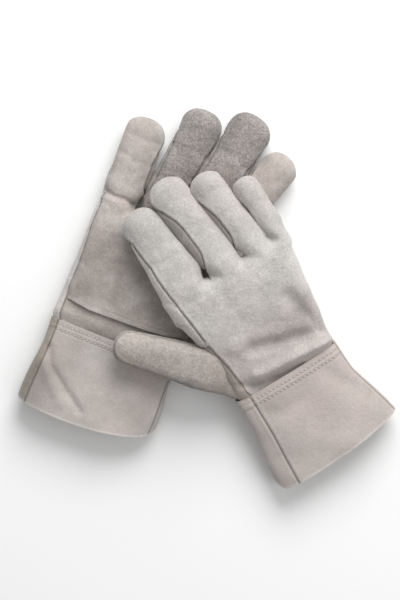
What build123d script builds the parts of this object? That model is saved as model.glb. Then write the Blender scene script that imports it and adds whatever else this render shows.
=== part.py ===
from build123d import *
import os
from math import atan2, cos, degrees, radians, sin, tan

# A pair of short-gauntlet welder's gloves in split cowhide, laid down on a floor.
# The lower glove lies palm up, and the upper one lies palm down across it.
# Each glove is sewn from flat panels: backs, fronts, side strips, a palm patch, a cuff and linings.
# Plan sizes are in the glove's own axes: x across it, y from the cuff's mouth towards the fingers.
# The origin is the middle of the pair's footprint, on the floor, with +Z up.

os.makedirs("parts", exist_ok=True)

# Driving dimensions, in millimetres and degrees
leather = 1.5          # thickness of every leather panel
lining = 0.8           # thickness of the linings
ease = 0.4             # between leather and lining
gap = 0.5              # between two bodies at a hinge
cuff_length = 70.0
cuff_height = 29.0
hand_height = 25.0
finger_height = hand_height
thumb_height = 20.0
knuckle_line = 178.0   # where the fingers leave the hand
hem_line = 88.0        # lower hem of the palm patch
patch_top = 172.0
stitch_rows = (62.0, 67.0)
stitch_length = 3.0
stitch_pitch = 4.2
stitch_width = 0.9
tack_length = 8.0
side_length = 26.0     # a finger widens from its root over this length

# Each finger: root x, tip x, tip y, width at the root, full width, and the y of a hinge beyond the root
lower = {
    "name": "lower", "mouth": (-93.1, -98.7), "heading": -21.7,
    "cuff_tilt": 0.0, "hand_tilt": 0.0, "finger_tilt": 0.0, "thumb_lift": 0.0,
    "cuff_left": [(-58.5, 0), (-55.5, 69.5)],
    "cuff_right": [(51, 0), (52, 69.5)],
    "hand_left": [(-55, 70), (-55, 178)],
    "below_thumb": [(53, 70), (56, 85), (77.5, 107.5)],
    "above_thumb": [(57.5, 119.2), (58.5, 150), (59, 178)],
    "thumb": {"tip": (95.3, 161.3), "width": 23.0},
    "fingers": {
        "little": {"root": -39.5, "tip": (-37.5, 246), "root_width": 27.0, "width": 30.5, "hinge": None},
        "ring": {"root": -11.0, "tip": (0, 268), "root_width": 27.0, "width": 29.0, "hinge": 226.0},
        "middle": {"root": 16.9, "tip": (39, 279), "root_width": 26.5, "width": 29.5, "hinge": 237.0},
        "index": {"root": 44.8, "tip": (73, 257), "root_width": 25.5, "width": 26.5, "hinge": 233.0},
    },
}
upper = {
    "name": "upper", "mouth": (112.8, -121.4), "heading": 31.5,
    "cuff_tilt": 9.0, "hand_tilt": 16.0, "finger_tilt": -9.5, "thumb_lift": 31.5,
    "cuff_left": [(-57, 0), (-50, 69.5)],
    "cuff_right": [(57, 0), (50.5, 24), (43, 50), (42, 69.5)],
    "hand_right": [(42, 70), (39.5, 88), (43, 108), (47.5, 135), (52, 165), (56, 178)],
    "below_thumb": [(-49.5, 70), (-51, 77), (-74.7, 109.2)],
    "above_thumb": [(-54.3, 128.3), (-58, 159), (-59, 178)],
    "thumb": {"tip": (-107.5, 164.9), "width": 26.5},
    "fingers": {
        "index": {"root": -39.0, "tip": (-44, 252), "root_width": 31.0, "width": 33.0, "hinge": None},
        "middle": {"root": -3.0, "tip": (-12, 264), "root_width": 27.0, "width": 28.0, "hinge": None},
        "ring": {"root": 26.0, "tip": (17, 252), "root_width": 25.0, "width": 27.0, "hinge": None},
        "little": {"root": 48.2, "tip": (43.5, 233), "root_width": 16.0, "width": 17.5, "hinge": None},
    },
}


def section(origin, heading, tilt):
    """The plane of one stretch of a glove: x across it, y along it, z out of its top."""
    turn = radians(heading)
    rise = radians(tilt)
    across = Vector(cos(turn), sin(turn), 0)
    along = Vector(-sin(turn) * cos(rise), cos(turn) * cos(rise), sin(rise))
    return Plane(origin=origin, x_dir=across, z_dir=across.cross(along))


def floor_point(glove, x, y, z=0.0):
    """A place in a glove's plan, in the pair's frame."""
    turn = radians(glove["heading"])
    mouth_x, mouth_y = glove["mouth"]
    return Vector(
        mouth_x + x * cos(turn) - y * sin(turn),
        mouth_y + x * sin(turn) + y * cos(turn),
        z,
    )


def stretches(glove):
    """The planes of a glove's cuff, hand and fingers, and the length along each that a plan length becomes."""
    rise = radians(glove["cuff_tilt"])
    hand_rise = radians(glove["hand_tilt"])
    wrist_z = cuff_length * tan(rise)
    knuckle_z = wrist_z + (knuckle_line - cuff_length) * tan(hand_rise)
    heading = glove["heading"]
    return {
        "cuff": (section(floor_point(glove, 0, 0), heading, glove["cuff_tilt"]), 0.0, 1 / cos(rise)),
        "hand": (
            section(floor_point(glove, 0, cuff_length, wrist_z), heading, glove["hand_tilt"]),
            cuff_length,
            1 / cos(hand_rise),
        ),
        "fingers": (
            section(floor_point(glove, 0, knuckle_line, knuckle_z), heading, glove["finger_tilt"]),
            knuckle_line,
            1 / cos(radians(glove["finger_tilt"])),
        ),
    }


def laid_out(stretch, points):
    """Plan points as points of a stretch's plane."""
    plane, start, longer = stretch
    return [(x, (y - start) * longer) for x, y in points]


def slab(points, low, high):
    """A flat panel with straight edges."""
    outline = make_face(Polyline(*points, close=True))
    return Pos(0, 0, low) * extrude(outline, high - low)


def strip(points, low, high, towards):
    """A side strip that stands on a line of points, one leather thick on the side given."""
    inner = [(x + towards * leather, y) for x, y in reversed(points)]
    return slab(list(points) + inner, low, high)


def finger_face(root_width, width, length, start=0.0):
    """A finger's outline on its own axis: it widens from its root and ends in a round tip."""
    half = width / 2
    shoulder = length - half * 0.95
    side = min(side_length, shoulder - 1)
    sides = Polyline((-half, shoulder), (-half, side), (-root_width / 2, start), (root_width / 2, start),
                     (half, side), (half, shoulder))
    tip = ThreePointArc((half, shoulder), (0, length), (-half, shoulder))
    return make_face([*sides.edges(), tip.edge()])


def finger_panels(root_width, width, length, height):
    """The bottom panel, the top panel and the side wall of a finger, and its hollow face."""
    face = finger_face(root_width, width, length, -8)
    hollow = finger_face(root_width - 2 * leather, width - 2 * leather, length - leather, -20)
    bottom = extrude(face, leather)
    top = Pos(0, 0, height - leather) * extrude(face, leather)
    walls = Pos(0, 0, leather) * extrude(face - hollow, height - 2 * leather)
    return bottom, top, walls


def kept_between(solid, low, high):
    """The part of a finger between two lengths along its own axis."""
    big = 400
    wanted = Pos(0, (low + high) / 2, 0) * Box(big, high - low, big)
    return solid & wanted


nodes = {}
hinges = {}


def keep(name, plane, solid):
    nodes[name] = plane.location * solid


def lining_sleeve(left, right, height):
    """A thin sleeve, open at both ends, inside a stretch's panels."""
    inset = leather + ease
    outer_left = [(x + inset, y) for x, y in left]
    outer_right = [(x - inset, y) for x, y in right]
    inner_left = [(x + lining, y) for x, y in outer_left]
    inner_right = [(x - lining, y) for x, y in outer_right]
    first_y, last_y = left[0][1], left[-1][1]
    outer = slab(outer_left + outer_right[::-1], inset, height - inset)
    longer_left = [(inner_left[0][0], first_y - 5)] + inner_left + [(inner_left[-1][0], last_y + 5)]
    longer_right = [(inner_right[0][0], first_y - 5)] + inner_right + [(inner_right[-1][0], last_y + 5)]
    hollow = slab(longer_left + longer_right[::-1], inset + lining, height - inset - lining)
    return outer - hollow


def stitches(left, right, rows, level):
    """Rows of identical stitches across the cuff."""
    made = []
    for y in rows:
        count = int((right - left) // stitch_pitch)
        first = (left + right - (count - 1) * stitch_pitch) / 2
        for i in range(count):
            one = Box(stitch_length, stitch_width, stitch_width)
            made.append(Pos(first + i * stitch_pitch, y, level + stitch_width / 2) * one)
    return Compound(children=made)


def build_cuff(glove):
    """Two cuff panels, a strip down each side, the canvas lining and the double row of stitches."""
    name = glove["name"]
    stretch = stretches(glove)["cuff"]
    plane = stretch[0]
    left = laid_out(stretch, glove["cuff_left"])
    right = laid_out(stretch, glove["cuff_right"])
    up, down = ("palm", "back") if name == "lower" else ("back", "palm")
    keep(f"{name}_cuff_{down}", plane, slab(left + right[::-1], 0, leather))
    keep(f"{name}_cuff_{up}", plane, slab(left + right[::-1], cuff_height - leather, cuff_height))
    little, thumb = (left, 1), (right, -1)
    if name == "upper":
        little, thumb = (right, -1), (left, 1)
    for side, (points, towards) in (("little", little), ("thumb", thumb)):
        band = strip(points, leather, cuff_height - leather, towards)
        keep(f"{name}_cuff_{side}_side", plane, band)
    keep(f"{name}_cuff_lining", plane, lining_sleeve(left, right, cuff_height))
    rows = [y * stretch[2] for y in stitch_rows]
    margin = 12
    threads = stitches(left[-1][0] + margin, right[-1][0] - margin, rows, cuff_height)
    keep(f"{name}_cuff_seam_stitches", plane, threads)


def build_hand(glove):
    """Back, palm, palm patch, side bands with the thumb's root between them, and the hand's lining."""
    name = glove["name"]
    stretch = stretches(glove)["hand"]
    plane = stretch[0]
    below = laid_out(stretch, glove["below_thumb"])
    above = laid_out(stretch, glove["above_thumb"])
    thumb_side = below + above
    if name == "lower":
        left = laid_out(stretch, glove["hand_left"])
        outline = left + thumb_side[::-1]
        far, towards = left, 1
        low_patch, high_patch = hand_height, hand_height + leather
    else:
        right = laid_out(stretch, glove["hand_right"])
        outline = thumb_side + right[::-1]
        far, towards = right, -1
        low_patch, high_patch = -leather, 0
    # the cuff's end face leans back less than the hand's, so the hand is cut to meet it
    cuff_plane = stretches(glove)["cuff"][0]
    cuff_end = cuff_length / cos(radians(glove["cuff_tilt"])) + gap
    cut = cuff_plane.location * (Pos(0, cuff_end - 100, 0) * Box(400, 200, 200))

    def keep_cut(node, solid):
        nodes[node] = plane.location * solid - cut

    bottom = slab(outline, 0, leather)
    top = slab(outline, hand_height - leather, hand_height)
    if name == "lower":
        bottom = bottom + back_roots(glove)
        top = top + front_root(glove)
    up, down = ("palm", "hand_back") if name == "lower" else ("hand_back", "palm")
    keep_cut(f"{name}_{down}", bottom)
    keep_cut(f"{name}_{up}", top)
    keep_cut(f"{name}_little_side_band", strip(far, leather, hand_height - leather, towards))
    # below and above the thumb's mouth the band is one strip of leather, cut out round the mouth
    band_below = strip(below, leather, hand_height - leather, -towards)
    band_above = strip(above, leather, hand_height - leather, -towards)
    keep_cut(f"{name}_wrist_side_band", band_below)
    keep_cut(f"{name}_thumb_side_band", band_above)

    patch_y = laid_out(stretch, [(0, hem_line), (0, patch_top)])
    edge = 4
    half_low, half_high = (50, 52) if name == "lower" else (40, 50)
    middle = 0 if name == "lower" else -2
    patch = [(middle - half_low, patch_y[0][1]), (middle + half_low - edge, patch_y[0][1]),
             (middle + half_high, patch_y[1][1]), (middle - half_high, patch_y[1][1])]
    keep_cut(f"{name}_palm_patch", slab(patch, low_patch, high_patch))

    # the lining keeps to the straight middle of the hand, clear of the thumb's mouth
    first, last = outline[0][1] + 6, laid_out(stretch, [(0, knuckle_line)])[0][1] - 1
    wide = 51 if name == "lower" else 37.5
    shift = 0 if name == "lower" else -6
    sleeve_left = [(shift - wide, first), (shift - wide, last)]
    sleeve_right = [(shift + wide, first), (shift + wide, last)]
    keep(f"{name}_hand_lining", plane, lining_sleeve(sleeve_left, sleeve_right, hand_height))


def finger_place(glove, finger):
    """A finger's own plane: its root's middle at the origin and its length along y."""
    plane, start, longer = stretches(glove)["fingers"]
    root = Vector(finger["root"], 0, 0)
    tip = Vector(finger["tip"][0], (finger["tip"][1] - start) * longer, 0)
    lean = degrees(atan2(tip.X - root.X, tip.Y - root.Y))
    length = (tip - root).length
    place = Pos(root.X, root.Y, 0) * Rot(0, 0, -lean)
    return plane.location * place, length, lean


def hinge_distance(glove, finger):
    """How far along a finger its hinge is."""
    if finger["hinge"] is None:
        return None
    lean_length = (finger["hinge"] - knuckle_line) / (finger["tip"][1] - knuckle_line)
    return lean_length * finger_place(glove, finger)[1]


def back_roots(glove):
    """The roots of the hinged-tip fingers on the hand's back panel, which is one piece of leather with them."""
    made = None
    for finger in glove["fingers"].values():
        if finger["hinge"] is None:
            continue
        root = local_root(glove, finger, 0)
        made = root if made is None else made + root
    return made


def front_root(glove):
    """The root of the index finger's front, which is one piece with the palm."""
    return local_root(glove, glove["fingers"]["index"], finger_height - leather)


def local_root(glove, finger, level):
    """A finger root's panel in the hand's plane, from the hand's end to the finger's hinge."""
    place, length, lean = finger_place(glove, finger)
    hinge = hinge_distance(glove, finger)
    face = finger_face(finger["root_width"], finger["width"], length, -8)
    panel = kept_between(extrude(face, leather), -20, hinge - gap / 2)
    hand_end = knuckle_line - cuff_length
    placed = Pos(finger["root"], hand_end, level) * Rot(0, 0, -lean) * panel
    front_only = Pos(0, hand_end + 100 - 0.2, 0) * Box(400, 200, 200)
    return placed & front_only


def build_fingers(glove):
    """Each finger's front, back and side walls, and its hinge at the crease where it bends."""
    name = glove["name"]
    finger_stretch = stretches(glove)["fingers"]
    start_cut = finger_stretch[0].location * (Pos(0, -100 + gap, 0) * Box(400, 200, 200))
    fourchettes = []
    for kind, finger in glove["fingers"].items():
        place, length, lean = finger_place(glove, finger)
        bottom, top, walls = finger_panels(finger["root_width"], finger["width"], length, finger_height)
        parts = {"back": bottom, "front": top, "sides": walls}
        if name == "upper":
            parts = {"front": bottom, "back": top, "sides": walls}
        hinge = hinge_distance(glove, finger)
        for part, solid in parts.items():
            if hinge is None:
                nodes[f"{name}_{kind}_finger_{part}"] = place * solid - start_cut
                continue
            moving = place * kept_between(solid, hinge + gap / 2, length + 10)
            nodes[f"{name}_{kind}_fingertip_{part}"] = moving
            fixed = place * kept_between(solid, -20, hinge - gap / 2) - start_cut
            if part == "sides":
                fourchettes.extend(fixed.solids())
            if part == "front" and kind != "index":
                nodes[f"{name}_{kind}_finger_front"] = fixed
        at = gap / 2 if hinge is None else hinge
        pivot = place * Pos(0, at, finger_height + gap / 2)
        hinges[f"{name}_{kind}_finger"] = (pivot.position, axis_of(place))
    if fourchettes:
        nodes[f"{name}_fourchettes"] = Compound(children=fourchettes)


def axis_of(place):
    """The direction across a finger, about which a positive turn lifts its tip."""
    across = (place * Pos(1, 0, 0)).position - place.position
    return across.normalized()


def build_thumb(glove):
    """The thumb's front, back and side wall, and its hinge across its mouth."""
    name = glove["name"]
    low = Vector(*glove["below_thumb"][-1])
    high = Vector(*glove["above_thumb"][0])
    root = (low + high) * 0.5
    tip = Vector(*glove["thumb"]["tip"])
    lean = degrees(atan2(tip.X - root.X, tip.Y - root.Y))
    length = (tip - root).length
    width = glove["thumb"]["width"]
    bottom, top, walls = finger_panels(width, width + 1, length, thumb_height)
    plane = section(floor_point(glove, root.X, root.Y, glove["thumb_lift"]), glove["heading"], 0)
    place = plane.location * Rot(0, 0, -lean)
    clear = 1.5
    parts = {"back": bottom, "front": top, "sides": walls}
    if name == "upper":
        parts = {"front": bottom, "back": top, "sides": walls}
    for part, solid in parts.items():
        nodes[f"{name}_thumb_{part}"] = place * kept_between(solid, clear, length + 10)
    if name == "upper":
        pivot = place * Pos(0, clear, thumb_height + gap / 2)
        hinges["upper_thumb"] = (pivot.position, axis_of(place))
    else:
        pivot = place * Pos(width / 2, 0, 0)
        hinges["lower_thumb"] = (pivot.position, Vector(0, 0, 1))


def build_tacks(glove):
    """Short bars of dense stitching across the upper glove's thumb-side band."""
    hand, cuff = stretches(glove)["hand"], stretches(glove)["cuff"]
    made = []
    for stretch, x, y, level in (
        (hand, -50.0, 151.0, hand_height),
        (hand, -47.0, 131.0, hand_height),
        (cuff, -43.0, 64.5, cuff_height),
    ):
        at = laid_out(stretch, [(x, y)])[0]
        bar = Box(tack_length, 1.6, stitch_width)
        made.append(stretch[0].location * (Pos(at[0], at[1], level + stitch_width / 2) * bar))
    nodes["upper_bar_tacks"] = Compound(children=made)


for one in (lower, upper):
    build_cuff(one)
    build_hand(one)
    build_fingers(one)
    build_thumb(one)
build_tacks(upper)

# the pair's footprint is centred on the origin
whole = Compound(children=list(nodes.values())).bounding_box()
centre = Vector((whole.min.X + whole.max.X) / 2, (whole.min.Y + whole.max.Y) / 2, whole.min.Z)
for name, shape in nodes.items():
    solids = [solid.moved(Pos(*(centre * -1))) for solid in shape.solids()]
    moved = solids[0] if len(solids) == 1 else Compound(children=solids)
    export_step(moved, f"parts/{name}.step")

print("size", whole.size)
for name, (pivot, axis) in hinges.items():
    at = pivot - centre
    print("hinge", name, [round(v / 1000, 5) for v in at], [round(v, 5) for v in axis])
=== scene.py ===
import math
import bpy
import numpy as np
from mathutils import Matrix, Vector, noise


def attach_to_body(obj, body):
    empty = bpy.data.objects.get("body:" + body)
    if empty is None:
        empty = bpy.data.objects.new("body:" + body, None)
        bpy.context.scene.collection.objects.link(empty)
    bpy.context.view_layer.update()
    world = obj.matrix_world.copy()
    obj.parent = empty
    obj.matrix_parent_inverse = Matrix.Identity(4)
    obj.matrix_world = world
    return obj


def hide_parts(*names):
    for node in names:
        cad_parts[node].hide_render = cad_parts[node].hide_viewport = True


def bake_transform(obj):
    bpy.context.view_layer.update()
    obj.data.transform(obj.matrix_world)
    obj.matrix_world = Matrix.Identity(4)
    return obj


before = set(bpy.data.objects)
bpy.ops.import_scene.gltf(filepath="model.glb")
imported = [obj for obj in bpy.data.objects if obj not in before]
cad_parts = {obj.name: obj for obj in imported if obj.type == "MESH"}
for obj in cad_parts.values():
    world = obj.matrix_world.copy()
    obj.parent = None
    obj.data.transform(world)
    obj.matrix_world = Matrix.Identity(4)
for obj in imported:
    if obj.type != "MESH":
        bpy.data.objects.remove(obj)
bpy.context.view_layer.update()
mm = 0.001

# A pair of short welder's gloves: the lower one palm up, the upper one palm down across it.
# Patterns are in millimetres on each glove's own axes: x across it, y from the cuff's mouth to the
# fingers, z up from its underside. place() puts them in the frame, in metres.
rootCrease = 178   # y of the crease at the fingers' roots


def finger(root, tip, skin, full, seams, hinge=rootCrease, wide=(0, 0)):
    # skin and full: half-widths at root and tip, as it is skinned and as it is then filled out.
    # seams: how far out the seams of its face run, left and right, as a share of the half-width;
    # 2 is for a side without a wall. wide: how much wider it is at its root, left and right.
    return {"root": root, "tip": tip, "skin": skin, "full": full, "seams": seams, "hinge": hinge,
            "wide": wide}


# cuffEdges: y, left, right. cuffSeams: y and x of the seams of the cuff's top panel.
# under: how far the cuff's lower side is offset at its right, in x and in y.
lowerGlove = {
    "name": "lower", "mouth": (-101.26, -97.22), "heading": -21.7, "height": 25.0,
    "topFace": "palm", "lowFace": "back", "sides": ("little", "thumb"),
    "handEdge": [(-57.6, 52), (-57.6, 76), (-56.4, 100), (-56, 130), (-56, 165), (-54.5, 174), (59, 174),
                 (58.5, 150), (57, 110), (54, 84), (51, 52)],
    "fingers": {
        "little": finger((-40.8, 150), (-40.2, 247.4), (15.0, 14.0), (16.0, 17.2), (2.0, 0.90)),
        "ring": finger((-11.5, 150), (0.5, 270), (12.6, 12.6), (15.0, 17.2), (0.86, 0.90), 226),
        "middle": finger((14.5, 150), (39.5, 281), (12.8, 12.8), (15.2, 18.2), (0.86, 0.90), 237),
        "index": finger((39.5, 156), (73.5, 259), (12.0, 12.0), (14.6, 15.2), (0.88, 2.0), 233),
    },
    "thumb": {"root": (46, 84), "tip": (96, 162), "half": (14.5, 12.5), "thick": 9.0, "level": 10.2,
              "hinge": 36.4},
    "bandSeams": {"little": [(-50.5, 60), (-51.5, 100), (-53, 140), (-53.5, 176), (-54, 190)],
                  "thumb": [(50, 60), (53, 90), (56, 110), (57.5, 150), (58, 176)]},
    "bandEnds": (178, 178), "wristBandEnd": 104, "wristMiddle": (-1.5, -1.5),
    "cuffEdges": [(-8, -59.0, 49.5), (0, -58.6, 50.0), (24, -57.5, 51.5), (48, -56.3, 52.5),
                  (76, -56.6, 53.4)],
    "cuffSeams": {"left": [(-8, -51.5), (40, -50.0), (76, -50.2)], "right": [(-8, 48.6), (76, 51.8)]},
    "mouthSides": (-1.5, 5.5), "mouthBulge": 6.2, "cornerRound": (3.0, 2.0), "under": (5.5, 13.0),
    "hem": [(-60, 89.5), (-48, 88.1), (-30, 85.8), (0, 86.6), (15, 87.1), (34, 88.7), (54, 93.5), (60, 95)],
    "patchEnd": 173.0,
}
upperGlove = {
    "name": "upper", "mouth": (104.64, -119.92), "heading": 31.5, "height": 25.0,
    "topFace": "back", "lowFace": "palm", "sides": ("thumb", "little"),
    "handEdge": [(-50.4, 52), (-50.2, 76), (-50.8, 100), (-53, 129), (-56.8, 146), (-59.4, 160), (-60, 172),
                 (54, 172), (52, 160), (48.8, 135), (47.0, 118), (45.6, 104), (41.8, 89), (41.2, 76),
                 (41.8, 52)],
    "fingers": {
        "index": finger((-40.0, 150), (-41.6, 251.8), (20.0, 16.4), (20.2, 16.2), (0.80, 2.0),
                        wide=(0, 5.6)),
        "middle": finger((1.8, 146), (-12.0, 262.0), (14.2, 13.4), (15.4, 16.4), (0.54, 2.0), wide=(0.6, 0)),
        "ring": finger((31.0, 146), (17.2, 248.8), (11.6, 11.8), (14.0, 14.2), (0.70, 2.0), wide=(0.6, 0)),
        "little": finger((48.0, 160), (44.2, 230.0), (6.6, 9.0), (9.2, 11.2), (0.88, 2.0)),
    },
    "thumb": {"root": (-35, 89), "tip": (-110.3, 169.4), "half": (20.5, 14.6), "thick": 8.8, "level": 11.4,
              "hinge": 41.8},
    "bandSeams": {"thumb": [(-39.2, 60), (-40, 85), (-42, 105), (-47, 132), (-50, 158), (-52.4, 180),
                            (-54, 205), (-56.4, 229), (-60, 243), (-66, 254)],
                  "little": [(39, 60), (38.5, 72), (38, 88), (41.5, 106), (44.5, 135), (47.5, 160),
                             (51, 176)]},
    "bandEnds": (252, 178), "wristBandEnd": 128, "wristMiddle": (0, -4),
    "cuffEdges": [(-8, -58.5, 60.5), (0, -57.6, 57.0), (24, -54.2, 50.8), (50, -51.6, 44.2),
                  (76, -50.7, 41.9)],
    "cuffSeams": {"left": [(-8, -41.8), (38, -39.4), (76, -39.2)],
                  "right": [(-8, 59.4), (0, 56), (24, 49.8), (50, 43.2), (76, 41.0)]},
    "mouthSides": (-4.5, 3.0), "mouthBulge": 3.6, "cornerRound": (10.0, 1.5), "under": (0.0, 0.0),
    "hem": [(-60, 88), (60, 88)], "patchEnd": 172.0,
}


def clearSelection():
    if bpy.context.object and bpy.context.object.mode != "OBJECT":
        bpy.ops.object.mode_set(mode="OBJECT")
    bpy.ops.object.select_all(action="DESELECT")


def onlyActive(obj):
    clearSelection()
    obj.select_set(True)
    bpy.context.view_layer.objects.active = obj


def joinAll(parts):
    clearSelection()
    for part in parts:
        part.select_set(True)
    bpy.context.view_layer.objects.active = parts[0]
    bpy.ops.object.join()
    return bpy.context.object


def editAll(obj, *steps):
    # edits the whole mesh: each step is a mesh operator and its settings
    onlyActive(obj)
    bpy.ops.object.mode_set(mode="EDIT")
    for operator, settings in steps:
        bpy.ops.mesh.select_all(action="SELECT")
        operator(**settings)
    bpy.ops.object.mode_set(mode="OBJECT")


def addCurve(name, points, radii=None, cyclic=False, flat=False):
    data = bpy.data.curves.new(name, "CURVE")
    data.dimensions = "2D" if flat else "3D"
    line = data.splines.new("POLY")
    line.points.add(len(points) - 1)
    for i, p in enumerate(points):
        line.points[i].co = (p[0] * mm, p[1] * mm, (p[2] if len(p) > 2 else 0) * mm, 1)
        line.points[i].radius = radii[i] * mm if radii else 1
    line.use_cyclic_u = cyclic
    obj = bpy.data.objects.new(name, data)
    bpy.context.collection.objects.link(obj)
    return obj


def toMesh(obj):
    onlyActive(obj)
    bpy.ops.object.convert(target="MESH")
    return bpy.context.object


def readPoints(obj):
    co = np.zeros(len(obj.data.vertices) * 3)
    obj.data.vertices.foreach_get("co", co)
    return co.reshape(-1, 3)


def readNormals(obj):
    no = np.zeros(len(obj.data.vertices) * 3)
    obj.data.vertex_normals.foreach_get("vector", no)
    return no.reshape(-1, 3)


def writePoints(obj, co):
    obj.data.vertices.foreach_set("co", np.ascontiguousarray(co, dtype=float).ravel())
    obj.data.update()


def writeValues(obj, name, values):
    layer = obj.data.attributes.get(name) or obj.data.attributes.new(name, "FLOAT", "POINT")
    layer.data.foreach_set("value", np.ascontiguousarray(values, dtype=np.float32))


def faceMeans(obj, values):
    # the mean of a per-point value over each face
    loops = np.zeros(len(obj.data.loops), dtype=np.int64)
    obj.data.loops.foreach_get("vertex_index", loops)
    starts = np.zeros(len(obj.data.polygons), dtype=np.int64)
    obj.data.polygons.foreach_get("loop_start", starts)
    totals = np.zeros(len(obj.data.polygons), dtype=np.int64)
    obj.data.polygons.foreach_get("loop_total", totals)
    return np.add.reduceat(values[loops], starts) / totals


def applyModifier(obj, kind, **settings):
    onlyActive(obj)
    mod = obj.modifiers.new(kind.title(), kind)
    for key, value in settings.items():
        setattr(mod, key, value)
    bpy.ops.object.modifier_apply(modifier=mod.name)


# how a hand's volume is built before it is skinned: it is cut open at y = open, inside the cuff
volume = {"round": 11.0, "voxel": 1.0, "smooth": 22, "open": 60.0, "fingerThick": 12.0}


def handSlab(glove):
    obj = addCurve(glove["name"] + "Slab", glove["handEdge"], cyclic=True, flat=True)
    data = obj.data
    data.fill_mode = "BOTH"
    data.bevel_depth = volume["round"] * mm
    data.bevel_resolution = 6
    data.extrude = (glove["height"] / 2 - volume["round"]) * mm
    data.offset = -volume["round"] * mm
    obj.location.z = glove["height"] / 2 * mm
    slab = toMesh(obj)
    bpy.ops.object.transform_apply(location=True)
    return slab


def digitTube(name, root, tip, half, thick, level):
    # half is the half-width at the root and at the tip
    start, end = np.array(root, float), np.array(tip, float)
    length = np.linalg.norm(end - start)
    way = (end - start) / length
    shoulder = length - half[1] * 0.98
    stations = [(0.0, half[0]), (shoulder * 0.35, half[0] * 0.6 + half[1] * 0.4), (shoulder, half[1])]
    for deg in (12, 24, 36, 48, 60, 70, 80, 87):
        a = math.radians(deg)
        stations.append((shoulder + half[1] * 0.98 * math.sin(a), half[1] * math.cos(a) ** 0.82))
    points = [(*(start + way * s), 0) for s, _ in stations]
    obj = addCurve(name, points, [r for _, r in stations])
    obj.data.bevel_depth = 1.0
    obj.data.bevel_resolution = 8
    obj.data.use_fill_caps = True
    tube = toMesh(obj)
    co = readPoints(tube)
    co[:, 2] = np.clip(co[:, 2] / half[1], -mm, mm) * thick + level * mm
    writePoints(tube, co)
    return tube


def skin(obj):
    applyModifier(obj, "REMESH", mode="VOXEL", voxel_size=volume["voxel"] * mm, adaptivity=0)
    applyModifier(obj, "SMOOTH", factor=0.5, iterations=volume["smooth"])


def handVolume(glove):
    parts = [handSlab(glove)]
    middle = glove["height"] / 2
    for kind, f in glove["fingers"].items():
        parts.append(digitTube(kind, f["root"], f["tip"], f["skin"], volume["fingerThick"], middle))
    body = joinAll(parts)
    skin(body)
    editAll(body, (bpy.ops.mesh.bisect, {"plane_co": (0, volume["open"] * mm, 0), "plane_no": (0, 1, 0),
                                         "clear_inner": True}))
    return body


def smoothStep(low, high, value):
    t = np.clip((value - low) / (high - low), 0, 1)
    return t * t * (3 - 2 * t)


# how the upper glove lies over the lower one: slopes in degrees, and where they change
rise = {"cuff": 9.0, "hand": 16.0, "fingers": -9.5, "wrist": 70.0, "knuckle": rootCrease, "ease": 16.0,
        "thumbLift": 30.0}


def slopeAt(y):
    toHand = smoothStep(rise["wrist"] - rise["ease"], rise["wrist"] + rise["ease"], y)
    toFinger = smoothStep(rise["knuckle"] - rise["ease"], rise["knuckle"] + rise["ease"], y)
    angle = rise["cuff"] + (rise["hand"] - rise["cuff"]) * toHand
    return np.radians(angle + (rise["fingers"] - angle) * toFinger)


liftStep = 0.25
liftSteps = np.linspace(-20, 300, 1281)
liftTable = np.concatenate([[0], np.cumsum(np.tan(slopeAt(liftSteps))[:-1] * liftStep)])
liftTable = liftTable - np.interp(0, liftSteps, liftTable)


def place(glove, co, levelShare=None):
    # pattern points in millimetres to frame points in metres
    x, y, z = co[:, 0], co[:, 1], co[:, 2]
    if glove["name"] == "upper":
        slope = slopeAt(y)
        lift = np.interp(y, liftSteps, liftTable)
        if levelShare is not None:
            slope = slope * (1 - levelShare)
            lift = lift + levelShare * (rise["thumbLift"] - lift)
        y = y + (glove["height"] - z) * np.sin(slope)
        z = lift + z * np.cos(slope)
    turn = math.radians(glove["heading"])
    mx, my = glove["mouth"]
    world = np.stack([
        mx + x * math.cos(turn) - y * math.sin(turn),
        my + x * math.sin(turn) + y * math.cos(turn),
        z,
    ], axis=1)
    return world * mm


def distanceTo(line, x, y):
    # distance to a line of points in plan, its sign telling the side (left of the line is positive)
    best = np.full(x.shape, 1e9)
    side = np.zeros(x.shape)
    for (x0, y0), (x1, y1) in zip(line[:-1], line[1:]):
        dx, dy = x1 - x0, y1 - y0
        t = np.clip(((x - x0) * dx + (y - y0) * dy) / (dx * dx + dy * dy), 0, 1)
        offX, offY = x - (x0 + t * dx), y - (y0 + t * dy)
        d = np.hypot(offX, offY)
        closer = d < best
        best = np.where(closer, d, best)
        side = np.where(closer, np.sign(dx * offY - dy * offX), side)
    return best * side


def lumps(co, size, seed):
    # soft unevenness from noise, about -1 to 1
    shift = Vector((seed * 7.3, seed * 3.1, seed * 5.7))
    return np.array([noise.noise(Vector(p) / size + shift) for p in co])


def unevenness(co, layers):
    # layers: height, size of the lumps, seed
    return sum(height * lumps(co, size, seed) for height, size, seed in layers)


def bump(d, width):
    return np.exp(-(d / width) ** 2)


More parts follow.
